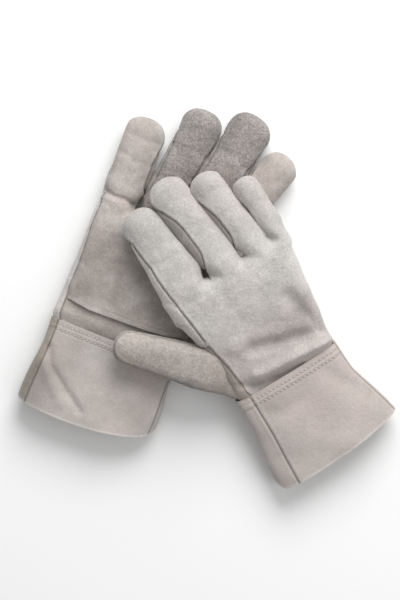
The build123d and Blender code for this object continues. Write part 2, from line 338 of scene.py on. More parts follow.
class Digit:
    # a finger's or thumb's own measure: s along it, lat across it, q 0 on its axis and 1 at its side
    def __init__(self, spec, full):
        self.seams, self.wide = spec.get("seams", (0.9, 0.9)), spec.get("wide", (0, 0))
        self.root, self.tip = np.array(spec["root"], float), np.array(spec["tip"], float)
        self.length = np.linalg.norm(self.tip - self.root)
        self.way = (self.tip - self.root) / self.length
        self.normal = np.array([self.way[1], -self.way[0]])
        self.full = full

    def between(self, ends, s):
        t = np.clip(s / (self.length - self.full[1]), 0, 1)
        return ends[0] + (ends[1] - ends[0]) * t

    def measure(self, x, y):
        rel = np.stack([x - self.root[0], y - self.root[1]], axis=1)
        s, lat = rel @ self.way, rel @ self.normal
        wide = np.where(lat < 0, *self.wide) * (1 - smoothStep(0.2, 0.9, s / self.length))
        half = self.between(self.full, s) + wide
        over = np.maximum(s - (self.length - self.full[1]), 0)
        return s, lat, np.hypot(lat, over) / half, half

    def at(self, s):
        return self.root + self.way * s


# seams, and the folds of each hand: a line, its height (negative for a crease) and its width
seam = {"tipShare": 1.12, "start": 172.0, "full": 198.0, "groove": 0.9, "grooveWidth": 0.75, "welt": 0.45,
        "weltAt": 1.9, "weltWidth": 1.1}
folds = {
    "lower": [
        ([(-56, 181), (-46, 178), (-36, 179), (-22, 176)], -2.2, 2.0),
        ([(-54, 174), (-40, 172.5), (-26, 170)], 1.4, 3.4),
        ([(-52, 188), (-38, 187), (-24, 185)], 0.8, 4.0),
        ([(-47, 150), (-20, 158), (10, 150)], 1.2, 10.0),
        ([(-44, 118), (-32, 138), (-25, 166)], -1.2, 6.0),
        ([(-50, 100), (-36, 112), (-30, 128)], 0.9, 6.0),
        ([(-22, 206), (-8, 208), (8, 206)], -0.9, 2.8),
        ([(-18, 234), (-2, 236), (14, 233)], -0.7, 2.6),
        ([(8, 214), (22, 212), (38, 208)], -0.9, 2.8),
        ([(18, 246), (34, 243), (48, 237)], -0.7, 2.8),
        ([(46, 226), (60, 223), (76, 216)], -0.8, 2.6),
        ([(-54, 214), (-38, 211), (-22, 213)], -0.7, 3.0), ([(-50, 230), (-38, 229), (-26, 231)], -0.4, 2.6),
    ],
    "upper": [
        ([(-16, 107), (-8, 104), (12, 97.3), (32, 91), (42, 89)], -5.0, 6.6),
        ([(-4, 112), (16, 106), (36, 98)], -1.4, 11.0),
        ([(-26, 88), (-18, 86.5), (-9, 85.5), (10, 84), (28, 82), (38, 81)], 3.8, 4.4),
        ([(-40, 86), (-33, 80), (-24, 77), (-3.6, 74), (10, 73)], -2.6, 3.4),
        ([(29, 128), (32, 115), (35, 103)], -4.0, 7.5),
        ([(-30, 116), (-14, 113), (6, 106)], 1.6, 7.0),
        ([(-38, 120), (-20, 134), (0, 140)], 1.2, 12.0),
        ([(12, 150), (30, 138), (40, 126)], 1.2, 9.0),
        ([(-17, 170), (-18, 150), (-14, 128)], -0.7, 7.0),
        ([(15, 170), (13, 154), (8, 140)], -0.6, 6.5),
        ([(40, 170), (35, 152), (28, 140)], -0.6, 6.0),
        ([(-58, 206), (-44, 203), (-28, 204)], -0.8, 3.2), ([(-58, 228), (-42, 226), (-28, 229)], -0.6, 2.8),
        ([(-26, 214), (-10, 216), (6, 214)], -0.8, 3.2), ([(-26, 238), (-10, 240), (4, 238)], -0.5, 2.8),
        ([(8, 208), (22, 211), (34, 209)], -0.8, 3.0), ([(6, 230), (18, 232), (32, 229)], -0.5, 2.6),
        ([(34, 204), (46, 206), (58, 203)], -0.6, 2.6),
    ],
}


# darker and (negative) paler places, stains with painted light and shade among them: x, y, radius, strength
stainsAndLight = {
    # the lower palm is darker at its left; its paler place by the little finger's crease is a painted
    # highlight
    "lower hand": [(-43, 128, 17, 0.7), (-34, 104, 15, 0.5), (-12, 128, 18, 0.3), (-33, 170, 15, -0.6),
                   (-22, 140, 8, -0.4), (52, 225, 12, -0.2)],
    # the lower cuff is darker at its left, by its seam
    "lower cuff": [(-47, 24, 15, 0.9), (-46, 4, 14, 0.8), (-30, 40, 10, 0.3), (10, 30, 18, -0.2)],
    # painted shade in the wrist's groove, in its dimple and under its ridge, and a painted highlight on the
    # ridge
    "upper hand": [(31, 112, 9, 0.7), (24, 96, 8, 0.55), (6, 100, 8, 0.4), (-29, 79, 6, 0.7),
                   (-14, 76, 6, 0.6), (14, 82, 9, -0.5), (30, 80, 7, -0.4)],
    # the upper cuff is darker at its left and paler at its right
    "upper cuff": [(-30, 62, 12, 0.35), (-34, 20, 12, 0.25), (30, 30, 16, -0.35), (20, 8, 12, -0.2)],
}


def stainAndLightAt(place, x, y):
    total = np.zeros(len(x))
    for sx, sy, radius, strength in stainsAndLight[place]:
        total += strength * bump(np.hypot(x - sx, y - sy), radius)
    return np.clip(total, -1, 1)


def fillOut(glove, co):
    # the digits swell from the width they were skinned at to their full width, and lie flatter below
    x, y = co[:, 0].copy(), co[:, 1].copy()
    digits = {k: Digit(f, f["full"]) for k, f in glove["fingers"].items()}
    names = list(digits)
    plain = [Digit({"root": f["root"], "tip": f["tip"]}, f["skin"]) for f in glove["fingers"].values()]
    nearest = np.argmin(np.stack([d.measure(x, y)[2] for d in plain]), axis=0)
    for i, k in enumerate(names):
        mine = (nearest == i) & (y > 164)
        s, lat, q, half = digits[k].measure(x, y)
        skinned = digits[k].between(glove["fingers"][k]["skin"], s)
        grow = (half / skinned - 1) * smoothStep(173, 192, y)
        lat = lat + np.where(mine, lat * grow, 0)
        # smoothing drew the finger in, so it is let out to its full width and length again
        straight = mine & (y > 196) & (s < digits[k].length - digits[k].full[1])
        letOut = 1 / np.percentile(np.abs(lat[straight]) / half[straight], 98) - 1
        lat = lat * (1 + np.where(mine, letOut * smoothStep(176, 194, y), 0))
        longer = digits[k].length - s[mine].max()
        s = s + np.where(mine, longer * smoothStep(digits[k].length - 30, digits[k].length - 4, s), 0)
        spot = digits[k].root + s[:, None] * digits[k].way + lat[:, None] * digits[k].normal
        co[mine, :2] = spot[mine]
    return digits, names, nearest


away = -50.0   # the distance given to points that no seam concerns


def measureHand(glove, co, digits, names, nearest):
    # how far every point is past each seam, and which finger it belongs to
    x, y, z = co[:, 0], co[:, 1], co[:, 2]
    rows = np.array([digits[k].measure(x, y) for k in names])
    s, lat, q, half = rows[nearest, :, np.arange(len(x))].T
    tipward = smoothStep(0.64, 0.98, s / np.array([digits[k].length for k in names])[nearest])
    shares = np.array([digits[k].seams for k in names])[nearest]
    share = np.where(lat < 0, shares[:, 0], shares[:, 1])
    noWall = (share > 1.5) & (y > 184)
    share = share + (seam["tipShare"] - share) * tipward
    threshold = share + 0.45 * (1 - smoothStep(seam["start"], seam["full"], y))
    fingerEdge = np.where(y > seam["start"] - 1, (q - threshold) * half, away)
    bands = {k: distanceTo(line, x, y) for k, line in glove["bandSeams"].items()}
    left, right = glove["sides"]
    leftEdge = np.where(y < glove["bandEnds"][0], bands[left], away)
    rightEdge = np.where(y < glove["bandEnds"][1], -bands[right], away)
    if glove["name"] == "upper":
        # the back rolls over the little-finger side, whose band is only below
        rightEdge = np.where(z > glove["height"] / 2, away, rightEdge)
        # the index finger's outer side belongs to the band
        outer = (nearest == names.index("index")) & (lat < 0) & (y > 150) & (y < 250)
        fingerEdge = np.where(outer, away, fingerEdge)
    edge = np.maximum(np.maximum(fingerEdge, leftEdge), rightEdge)
    return {"nearest": nearest, "q": q, "tipward": np.maximum(tipward, noWall), "edge": edge,
            "leftEdge": leftEdge, "rightEdge": rightEdge, "fingerEdge": fingerEdge,
            "top": z > glove["height"] / 2}


def snapTo(co, field, slope, reach=0.55, longest=0.7):
    # points close to a line are moved onto it, so that panels part along clean edges
    near = np.abs(field) < reach
    co[near, :2] -= np.clip(field[:, None] * slope, -longest, longest)[near]


def slopeOf(glove, co, digits, names, nearest, edge):
    # which way, and how far for each millimetre, a point moves to reach the nearest seam
    step = 0.05
    slope = np.zeros((len(co), 2))
    for i in range(2):
        moved = co.copy()
        moved[:, i] += step
        slope[:, i] = (measureHand(glove, moved, digits, names, nearest)["edge"] - edge) / step
    size = np.maximum((slope ** 2).sum(axis=1), 0.3)
    slope = slope / size[:, None]
    slope[(np.abs(slope) > 2).any(axis=1)] = 0
    return slope


def hemAt(glove, x):
    return np.interp(x, *np.array(glove["hem"], float).T)


def onPalm(glove, co):
    middle = glove["height"] / 2
    return co[:, 2] > middle if glove["topFace"] == "palm" else co[:, 2] < middle


# where a finger's own piece begins: across its root, or this far before its hinge
splits = {"root": 173.5, "before": 9.0}


def splitField(glove, kind, digit, x, y):
    # how far a point is past the line where a finger's own piece begins
    spec = glove["fingers"][kind]
    if spec["hinge"] == rootCrease:
        return y - splits["root"]
    return (x - digit.root[0]) * digit.way[0] + (y - digit.root[1]) * digit.way[1] - splitAlong(spec, digit)


def splitAlong(spec, digit):
    return (spec["hinge"] - splits["before"] - digit.root[1]) / digit.way[1]


# how a hand sits: its crown and flat sole, and how the cuff draws in its wrist
sit = {"crown": 2.2, "crownHalf": 60, "sole": 1.6, "soleKeep": 0.25, "sink": 0.8, "lowest": 0.3,
       "wristIn": 0.055, "wristFlat": 0.3, "wristLevel": 13.0, "noSnap": 9.0}
uneven = {"lower": ((1.2, 34, 1), (0.42, 12, 3), (0.2, 5.5, 4)),
          "upper": ((1.2, 34, 2), (0.42, 12, 3), (0.2, 5.5, 4)),
          "thumb": ((0.9, 26, 6), (0.35, 9, 7), (0.18, 5, 8))}


def sculptHand(glove, body):
    # gives the hand its shape and the values its materials read, and returns its faces' measures
    name = glove["name"]
    co = readPoints(body) / mm
    digits, names, nearest = fillOut(glove, co)
    m = measureHand(glove, co, digits, names, nearest)
    snapTo(co, m["edge"], slopeOf(glove, co, digits, names, nearest, m["edge"]))
    onHem = onPalm(glove, co) & (m["edge"] < -0.3)
    hemField = np.where(onHem, co[:, 1] - hemAt(glove, co[:, 0]), sit["noSnap"])
    snapTo(co, hemField, np.array([[0.0, 1.0]]))
    for i, kind in enumerate(names):
        past = splitField(glove, kind, digits[kind], co[:, 0], co[:, 1])
        field = np.where(m["nearest"] == i, past, sit["noSnap"])
        atRoot = glove["fingers"][kind]["hinge"] == rootCrease
        snapTo(co, field, np.array([[0.0, 1.0]]) if atRoot else digits[kind].way[None], 0.45)
    writePoints(body, co * mm)
    centres = np.stack([faceMeans(body, co[:, i]) for i in range(3)], axis=1)
    corners = np.array([p.vertices[0] for p in body.data.polygons])
    atFaces = measureHand(glove, centres, digits, names, nearest[corners])
    atFaces["digits"], atFaces["names"] = digits, names
    normals = readNormals(body)
    m = measureHand(glove, co, digits, names, nearest)
    x, y, z = co[:, 0], co[:, 1], co[:, 2]
    up = smoothStep(0.1, 0.6, normals[:, 2])
    push = np.zeros(len(co))
    # a groove along every seam, with the leather a little proud beside it
    d = m["edge"]
    shown = np.where(normals[:, 2] > 0, 1.0, 0.8)
    push -= seam["groove"] * bump(d, seam["grooveWidth"]) * shown
    push += seam["welt"] * bump(d + seam["weltAt"], seam["weltWidth"]) * shown
    tipSeam = np.where((m["q"] > 0.8) & (y > 190), bump(z - glove["height"] / 2, 0.9) * m["tipward"], 0)
    push -= 0.7 * tipSeam
    for line, height, width in folds[name]:
        push += height * bump(distanceTo(line, x, y), width) * up
    push += unevenness(co, uneven[name])
    co = co + normals * push[:, None]
    # the hand's top is crowned and its underside lies flat
    crown = sit["crown"] * np.clip(1 - (x / sit["crownHalf"]) ** 2, 0, 1)
    co[:, 2] += crown * smoothStep(76, 104, y) * (1 - smoothStep(165, 200, y)) * smoothStep(8, 20, z)
    flat = co[:, 2] < sit["sole"]
    co[flat, 2] = sit["sole"] - (sit["sole"] - co[flat, 2]) * sit["soleKeep"]
    co[:, 2] = np.maximum(co[:, 2] - sit["sink"], sit["lowest"])
    # the wrist is drawn in where the cuff is sewn over it
    wrist = cuff["top"][name]
    inCuff = 1 - smoothStep(wrist - 3, wrist + 5, y)
    pressed = 1 - smoothStep(wrist - 3, wrist + 9, y)
    middle = np.interp(y, [60, 90], glove["wristMiddle"])
    co[:, 0] = co[:, 0] + (middle - co[:, 0]) * sit["wristIn"] * inCuff
    co[:, 2] = co[:, 2] + (sit["wristLevel"] - co[:, 2]) * sit["wristFlat"] * pressed
    writeValues(body, "seamDark", np.maximum(bump(d, 0.55) * 0.9, tipSeam * 0.6))
    writeValues(body, "pale", smoothStep(0, 0.5, np.maximum(m["leftEdge"], m["rightEdge"])))
    writeValues(body, "wristward", 1 - smoothStep(84, 160, y))
    writeValues(body, "fingerward", smoothStep(160, 195, y) if name == "upper" else np.zeros(len(y)))
    writeValues(body, "inside", -d)
    # stains, with painted shade and highlight in the upper hand's wrist folds and a painted highlight on the
    # lower palm's crease
    writeValues(body, "stainAndLight", stainAndLightAt(name + " hand", x, y))
    writePoints(body, co * mm)
    return centres, atFaces


# each leather's material: the last four are the same leather as another, in another tone
materials = {}
handLeather = 1.3


def handLabels(glove, m, co):
    # every face's CAD node, body and leather, as an index into labels
    name = glove["name"]
    labels, which = [], np.zeros(len(co), dtype=int)

    def mark(mask, node, body, kind):
        if node not in [l["node"] for l in labels]:
            labels.append({"node": node, "body": body, "kind": kind})
        which[mask] = [l["node"] for l in labels].index(node)

    x, y, top = co[:, 0], co[:, 1], m["top"]
    wall = m["edge"] > 0
    palmUp = glove["topFace"] == "palm"
    tone = {True: glove["topFace"], False: glove["lowFace"]}
    root = f"{name}_glove"
    for up in (True, False):
        face = "palm" if tone[up] == "palm" else "hand_back"
        mark(~wall & (top == up), f"{name}_{face}", root, "recess" if palmUp and up else tone[up])
    patched = ~wall & (top == palmUp) & (y > hemAt(glove, x)) & (y < glove["patchEnd"])
    mark(patched, f"{name}_palm_patch", root, "palm")
    bandSides = dict(zip(glove["sides"], (m["leftEdge"] > 0, m["rightEdge"] > 0)))
    for side, inBand in bandSides.items():
        mark(wall & inBand, f"{name}_{side}_side_band", root, "wall")
    low = y < glove["wristBandEnd"]
    # painted shade: the thumb-side band at the wrist gets a darker copy of the wall leather, where it lies
    # in shade beside the thumb
    mark(wall & bandSides["thumb"] & low, f"{name}_wrist_side_band", root, "wristWall")
    for i, kind in enumerate(m["names"]):
        mine = m["nearest"] == i
        whole = glove["fingers"][kind]["hinge"] == rootCrease
        past = splitField(glove, kind, m["digits"][kind], x, y)
        beyond = mine & (past > 0)
        digitBody = f"{name}_{kind}_finger" if whole else f"{name}_{kind}_fingertip"
        for up in (True, False):
            side = "front" if tone[up] == "palm" else "back"
            rough = palmUp and kind in ("ring", "middle") and up
            leather = "rough" if rough else tone[up]
            mark(beyond & ~wall & (top == up), f"{digitBody}_{side}", digitBody, leather)
            if rough:
                before = mine & (past <= 0) & (y > glove["patchEnd"])
                mark(before & ~wall & top, f"{name}_{kind}_finger_front", root, "rough")
        mark(beyond & wall, f"{digitBody}_sides", digitBody, "wall")
        if not whole:
            fourchette = mine & (past <= 0) & (y > seam["start"]) & wall & (m["fingerEdge"] > 0)
            mark(fourchette, f"{name}_fourchettes", root, "wall")
    return labels, which


def finish(piece, kind, thickness):
    applyModifier(piece, "SOLIDIFY", thickness=thickness * mm, offset=-1, use_rim=True)
    onlyActive(piece)
    bpy.ops.object.shade_smooth_by_angle(angle=math.radians(55))
    piece.data.materials.clear()
    piece.data.materials.append(materials[kind])


def attach(piece, node, body, ends=None):
    # names the piece after its CAD node, which it replaces, and joins it to its body; a piece given ends is
    # not joined, its place is baked in
    piece.name = node
    if ends:
        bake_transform(piece)
    else:
        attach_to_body(piece, body)
    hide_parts(node)


def blendEnds(glove, digit, spec):
    # where a finger starts and stops bending, on its top, in the frame
    low, high = (-3.5, 11) if spec["hinge"] == rootCrease else (-8, 8)
    ends = []
    for step in (low, high):
        p = digit.at((spec["hinge"] + step - digit.root[1]) / digit.way[1])
        ends.append(place(glove, np.array([[p[0], p[1], glove["height"]]]))[0])
    return ends


def partPanels(body, labels, chosen):
    # parts a mesh into one object for each label, by way of a material for each
    body.data.materials.clear()
    for i in range(len(labels)):
        body.data.materials.append(bpy.data.materials.new(f"label{i}"))
    body.data.polygons.foreach_set("material_index", chosen.astype(np.int32))
    body.data.update()
    editAll(body, (bpy.ops.mesh.separate, {"type": "MATERIAL"}))
    made = []
    for piece in list(bpy.context.selected_objects):
        index = piece.data.polygons[0].material_index
        slotName = piece.data.materials[index].name if index < len(piece.data.materials) else "label0"
        made.append((labels[int(slotName.replace("label", "").split(".")[0])], piece))
    made.sort(key=lambda pair: pair[0]["node"])
    for label, piece in made:
        piece.data.materials.clear()
    for mat in [mt for mt in bpy.data.materials if mt.name.startswith("label")]:
        bpy.data.materials.remove(mat)
    return made


# how far the palm patch and its hem stand off the palm, and how the palm runs on under it
patch = {"lift": 1.7, "hemLift": 1.5, "tuck": 4.5, "tuckDown": 1.8}


def layPatch(glove, piece, co):
    # the palm patch is a second layer of leather, free along its lower hem
    x, y = co[:, 0], co[:, 1]
    inside = np.zeros(len(co))
    piece.data.attributes["inside"].data.foreach_get("value", inside)
    above = y - hemAt(glove, x)
    lift = patch["lift"] * smoothStep(0.2, 3.5, inside) * (1 - smoothStep(166, 173, y))
    lift += patch["hemLift"] * (1 - smoothStep(0, 9, above)) * smoothStep(2, 10, inside)
    lift += 0.3 * np.sin(x / 6.3) * (1 - smoothStep(0, 7, above)) * smoothStep(2, 10, inside)
    lift -= 0.3 * bump(above - 4.0, 0.8)
    sign = 1 if glove["topFace"] == "palm" else -1
    co[:, 2] += sign * lift
    writeValues(piece, "seamDark", 0.30 * bump(above - 4.0, 0.6))


def tuckPalm(glove, co):
    # the palm runs on under the patch's hem
    onHem = onPalm(glove, co) & (np.abs(co[:, 1] - hemAt(glove, co[:, 0])) < 0.5)
    sign = 1 if glove["topFace"] == "palm" else -1
    co[onHem, 1] += patch["tuck"]
    co[onHem, 2] -= sign * patch["tuckDown"]


def finishHand(glove, made, m):
    for label, piece in made:
        co = readPoints(piece) / mm
        if label["node"].endswith("palm_patch"):
            layPatch(glove, piece, co)
        if label["node"].endswith("_palm"):
            tuckPalm(glove, co)
        writePoints(piece, place(glove, co))
        finish(piece, label["kind"], handLeather)
        ends = None
        if not label["body"].endswith("_glove"):
            kind = label["body"].split("_")[1]
            ends = blendEnds(glove, m["digits"][kind], glove["fingers"][kind])
        attach(piece, label["node"], label["body"], ends)


# a thumb's creases: how far along it, height and width
thumbCreases = ((0.42, -0.9, 3.2), (0.47, 0.6, 3.0), (0.72, -0.6, 2.8))
thumbSeam = 0.9   # where its faces meet its side wall, as a share of the half-width


def makeThumb(glove):
    t = glove["thumb"]
    name = glove["name"]
    body = digitTube(name + "Thumb", t["root"], t["tip"], t["half"], t["thick"], t["level"])
    skin(body)
    digit = Digit(t, t["half"])
    co = readPoints(body) / mm
    for _ in range(2):
        s, lat, q, half = digit.measure(co[:, 0], co[:, 1])
        edge = (q - thumbSeam) * half
        onAxis = np.minimum(s, digit.length - t["half"][1])
        rel = co[:, :2] - digit.root - digit.way * onAxis[:, None]
        outward = rel / np.maximum(np.linalg.norm(rel, axis=1), 0.01)[:, None]
        snapTo(co, edge, outward)
    writePoints(body, co * mm)
    centres = np.stack([faceMeans(body, co[:, i]) for i in range(3)], axis=1)
    _, _, q, half = digit.measure(centres[:, 0], centres[:, 1])
    wall, top = q > thumbSeam, centres[:, 2] > t["level"]
    faces = (("front", "palm"), ("back", "back"))
    if name == "upper":
        faces = (("back", "thumb"), ("front", "palm"))
    labels = [{"node": f"{name}_thumb_{side}", "kind": kind} for side, kind in (*faces, ("sides", "wall"))]
    chosen = np.where(wall, 2, np.where(top, 0, 1))
    normals = readNormals(body)
    push = 0.4 * bump(edge + 1.9, 1.1) - 0.45 * bump(edge, 0.95)
    push += unevenness(co, uneven["thumb"])
    up = smoothStep(0.1, 0.6, normals[:, 2])
    for share, height, width in thumbCreases:
        push += height * bump(s - digit.length * share - 0.12 * lat, width) * up
    co = co + normals * push[:, None]
    co[:, 2] = np.maximum(co[:, 2], sit["lowest"])
    writeValues(body, "seamDark", bump(edge, 0.8) * (0.3 if name == "upper" else 0.9))
    # painted light and shade: the thumb is darker on its side towards the cuff and paler on its side towards
    # the fingers, strongly on the upper glove
    writeValues(body, "stainAndLight", np.clip(lat / t["half"][1], -1, 1) * (-0.45 if name == "upper" else 0.2))
    writeValues(body, "pale", smoothStep(-2.4, -1.4, edge) * (1 - smoothStep(-1.0, -0.4, edge)))
    level = smoothStep(5, t["hinge"], s) if name == "upper" else None
    writePoints(body, place(glove, co, level))
    ends = []
    for step in (-5, 7):
        p = digit.at(t["hinge"] + step)
        spot = np.array([[p[0], p[1], t["level"] + t["thick"]]])
        ends.append(place(glove, spot, np.ones(1) if name == "upper" else None)[0])
    for label, piece in partPanels(body, labels, chosen):
        finish(piece, label["kind"], handLeather)
        attach(piece, label["node"], f"{name}_thumb", ends)


# both cuffs: top is the y where they end on the hand, step the size of their faces
cuff = {"rows": 70, "step": 1.15, "samples": 260, "top": {"lower": 70.0, "upper": 75.0},
        "mouthHeight": 27.0, "topHeight": 25.2, "base": 0.25, "power": 3.2,
        "pressed": {"lower": 1.0, "upper": 2.1}, "leather": 1.5, "canvas": 0.7,
        "stitchRows": {"lower": (62.2, 66.4), "upper": (66.6, 70.9)}}
cuffFolds = {
    "lower": [([(-49, 46), (-43, 33), (-24, 19), (-7, 7)], -1.9, 3.0),
              ([(-50, 34), (-40, 22), (-24, 8)], 1.3, 4.5),
              ([(10, 52), (30, 34), (44, 22)], 0.6, 7.0)],
    "upper": [([(-36, 30), (-10, 44), (14, 50)], 0.7, 8.0),
              ([(24, 60), (36, 40), (44, 24)], -0.9, 6.0),
              ([(-34, 58), (-24, 50), (-8, 52)], -0.6, 5.0)],
}


def edgeAt(line, y):
    rows = np.array(line, float)
    return [np.interp(y, rows[:, 0], rows[:, i]) for i in range(1, rows.shape[1])]


def mouthAt(glove, across, over):
    # y of the raw edge: across runs -1 to 1 over the width, over is -1 below and 1 above
    left, right = glove["mouthSides"]
    y = left + (right - left) * (across + 1) / 2 - glove["mouthBulge"] * (1 - across ** 2)
    y = y + glove["cornerRound"][0] * np.clip(-across, 0, 1) ** 26
    y = y + glove["cornerRound"][1] * np.clip(across, 0, 1) ** 16
    return y + glove["under"][1] * np.clip(across, 0, 1) ** 4 * (1 - over) / 2


def squareRound(angle, power):
    # a circle's cosine and sine, nearer to a square's as power falls
    return [np.sign(v) * np.abs(v) ** power for v in (np.cos(angle), np.sin(angle))]


def cuffHeight(y):
    return cuff["mouthHeight"] + (cuff["topHeight"] - cuff["mouthHeight"]) * smoothStep(0, 70, y)


def cuffShell(glove, angle, along, inset=0.0, back=0.0, top=None):
    # angle turns once round the cuff from its right edge, along is 0 at the mouth and 1 at the hand
    across, over = squareRound(angle, 2 / cuff["power"])
    y = mouthAt(glove, across, over) + back
    y = y + ((top or cuff["top"][glove["name"]]) - y) * along
    left, right = edgeAt(glove["cuffEdges"], y)
    taper = inset + (4.4 - inset) * smoothStep(46, 60, y) if inset else 0.0
    half = (right - left) / 2 - taper
    height = cuffHeight(y) - 2 * taper
    x = (right + left) / 2 + half * across
    x = x + glove["under"][0] * (1 - over) / 2 * np.clip(across, 0, 1) ** 2 * (1 - smoothStep(20, 60, y))
    co = np.stack([x, y, cuff["base"] + taper + height / 2 * (1 + over)], axis=-1)
    return cuffRelief(glove, co.reshape(-1, 3)).reshape(co.shape)


def cuffRelief(glove, co):
    # unevenness, folds and pressed stitch rows, on the cuff's upper side
    x, y, z = co.T.copy()
    upper = smoothStep(13, 22, z)
    side = 1 - np.abs(z - 13.5) / 13.5
    push = 1.1 * lumps(co * (1, 1, 0.2), 40, 11) + 0.4 * lumps(co * (1, 1, 0.2), 15, 12)
    push -= 1.6 * np.clip(1 - (x / 54) ** 2, 0, 1) * smoothStep(-4, 20, y) * (1 - smoothStep(46, 70, y))
    push += 0.9 * np.sin(x / 8.5 + y / 20) * (1 - smoothStep(-4, 20, y))
    for line, height, width in cuffFolds[glove["name"]]:
        push += height * bump(distanceTo(line, x, y), width)
    for row in cuff["stitchRows"][glove["name"]]:
        push -= 0.5 * bump(y - row, 1.0)
    top = cuff["top"][glove["name"]]
    push -= cuff["pressed"][glove["name"]] * smoothStep(top - 7, top, y)
    co = co.copy()
    co[:, 2] += push * upper
    co[:, 0] += np.clip(side, 0, 1) * 0.8 * np.sin(y / 11.0) * np.sign(x)
    return co


def seamAngle(glove, side, along, over=1):
    # where the cuff's top panel, or its bottom panel with over = -1, is sewn to a side strip
    sign = -1 if side == "left" else 1
    y = mouthAt(glove, sign * 0.9, over)
    y = y + (cuff["top"][glove["name"]] - y) * along
    left, right = edgeAt(glove["cuffEdges"], y)
    x = edgeAt(glove["cuffSeams"][side], y)[0]
    across = np.abs(x - (left + right) / 2) / ((right - left) / 2)
    turn = np.arccos(np.clip(across, 0, 0.9995) ** (cuff["power"] / 2))
    angle = turn if side == "right" else math.pi - turn
    return angle if over > 0 else 2 * math.pi - angle


def wrapGrid(name, glove, start, end, inset=0.0, back=0.0, top=None):
    # a grid wrapped on the cuff's shell between two angles given for every row, evenly spaced
    rows = cuff["rows"]
    along = np.linspace(0, 1, rows)
    share = np.linspace(0, 1, cuff["samples"])
    angles = start[:, None] + (end - start)[:, None] * share[None]
    dense = cuffShell(glove, angles, np.repeat(along[:, None], len(share), axis=1), inset, back, top)
    steps = np.linalg.norm(np.diff(dense, axis=1), axis=2)
    lengths = np.concatenate([np.zeros((rows, 1)), np.cumsum(steps, axis=1)], axis=1)
    columns = max(6, int(lengths[rows // 2, -1] / cuff["step"]))
    bpy.ops.mesh.primitive_grid_add(x_subdivisions=columns - 1, y_subdivisions=rows - 1, size=2)
    grid = bpy.context.object
    grid.name = name
    unit = readPoints(grid)
    u = np.rint((1 - (unit[:, 0] + 1) / 2) * (columns - 1)).astype(int)
    v = np.rint((unit[:, 1] + 1) / 2 * (rows - 1)).astype(int)
    spots = np.zeros((rows, columns, 3))
    for r in range(rows):
        at = np.linspace(0, lengths[r, -1], columns)
        for i in range(3):
            spots[r, :, i] = np.interp(at, lengths[r], dense[r, :, i])
    writePoints(grid, spots[v, u] * mm)
    fromSeam = np.minimum(u, columns - 1 - u) / (columns - 1) * lengths[v, -1]
    return grid, fromSeam, v / (rows - 1)


def makeCuff(glove):
    name = glove["name"]
    along = np.linspace(0, 1, cuff["rows"])
    turns = {(side, over): seamAngle(glove, side, along, over)
             for side in ("left", "right") for over in (1, -1)}
    leftName, rightName = glove["sides"]
    panels = {
        f"{name}_cuff_{glove['topFace']}": (turns["right", 1], turns["left", 1]),
        f"{name}_cuff_{leftName}_side": (turns["left", 1], turns["left", -1]),
        f"{name}_cuff_{glove['lowFace']}": (turns["left", -1], turns["right", -1]),
        f"{name}_cuff_{rightName}_side": (turns["right", -1], turns["right", 1] + 2 * math.pi),
    }
    for node, (start, end) in panels.items():
        grid, fromSeam, v = wrapGrid(node, glove, start, end)
        normals = readNormals(grid)
        push = 0.4 * bump(fromSeam - 1.9, 1.1) - 0.7 * bump(fromSeam, 0.9)
        co = readPoints(grid) / mm + normals * push[:, None]
        co[:, 2] = np.maximum(co[:, 2], cuff["base"])
        rows = [bump(co[:, 1] - row, 0.7) for row in cuff["stitchRows"][name]]
        rowShade = 0.5 * (co[:, 2] > 14) * np.maximum(*rows)
        writeValues(grid, "seamDark", np.maximum(bump(fromSeam, 0.6), rowShade))
        writeValues(grid, "rawEdge", 1 - smoothStep(0.0, 0.035, v))
        writeValues(grid, "stainAndLight", stainAndLightAt(name + " cuff", co[:, 0], co[:, 1]))
        writePoints(grid, place(glove, co))
        # painted shade: the lower cuff's little-finger side, which turns from the light, gets a darker copy
        # of the cuff leather
        kind = "cuffSide" if node == "lower_cuff_little_side" else "cuff"
        finish(grid, kind, cuff["leather"])
        attach(grid, node, f"{name}_glove")
    around = np.zeros(cuff["rows"])
    lining, _, _ = wrapGrid(f"{name}_cuff_lining", glove, around, around + 2 * math.pi,
                            inset=1.75, back=3.0, top=66.0)
    writePoints(lining, place(glove, readPoints(lining) / mm))
    editAll(lining, (bpy.ops.mesh.remove_doubles, {"threshold": 0.0001}))
    finish(lining, "canvas", cuff["canvas"])
    attach(lining, f"{name}_cuff_lining", f"{name}_glove")


# the cotton lining of the hand, a bag open at the wrist
liningBag = {"start": 58.0, "end": 163.0, "inset": 6.2, "low": 4.4, "high": 18.8, "round": 24.0,
             "power": 0.65, "cloth": 0.7}


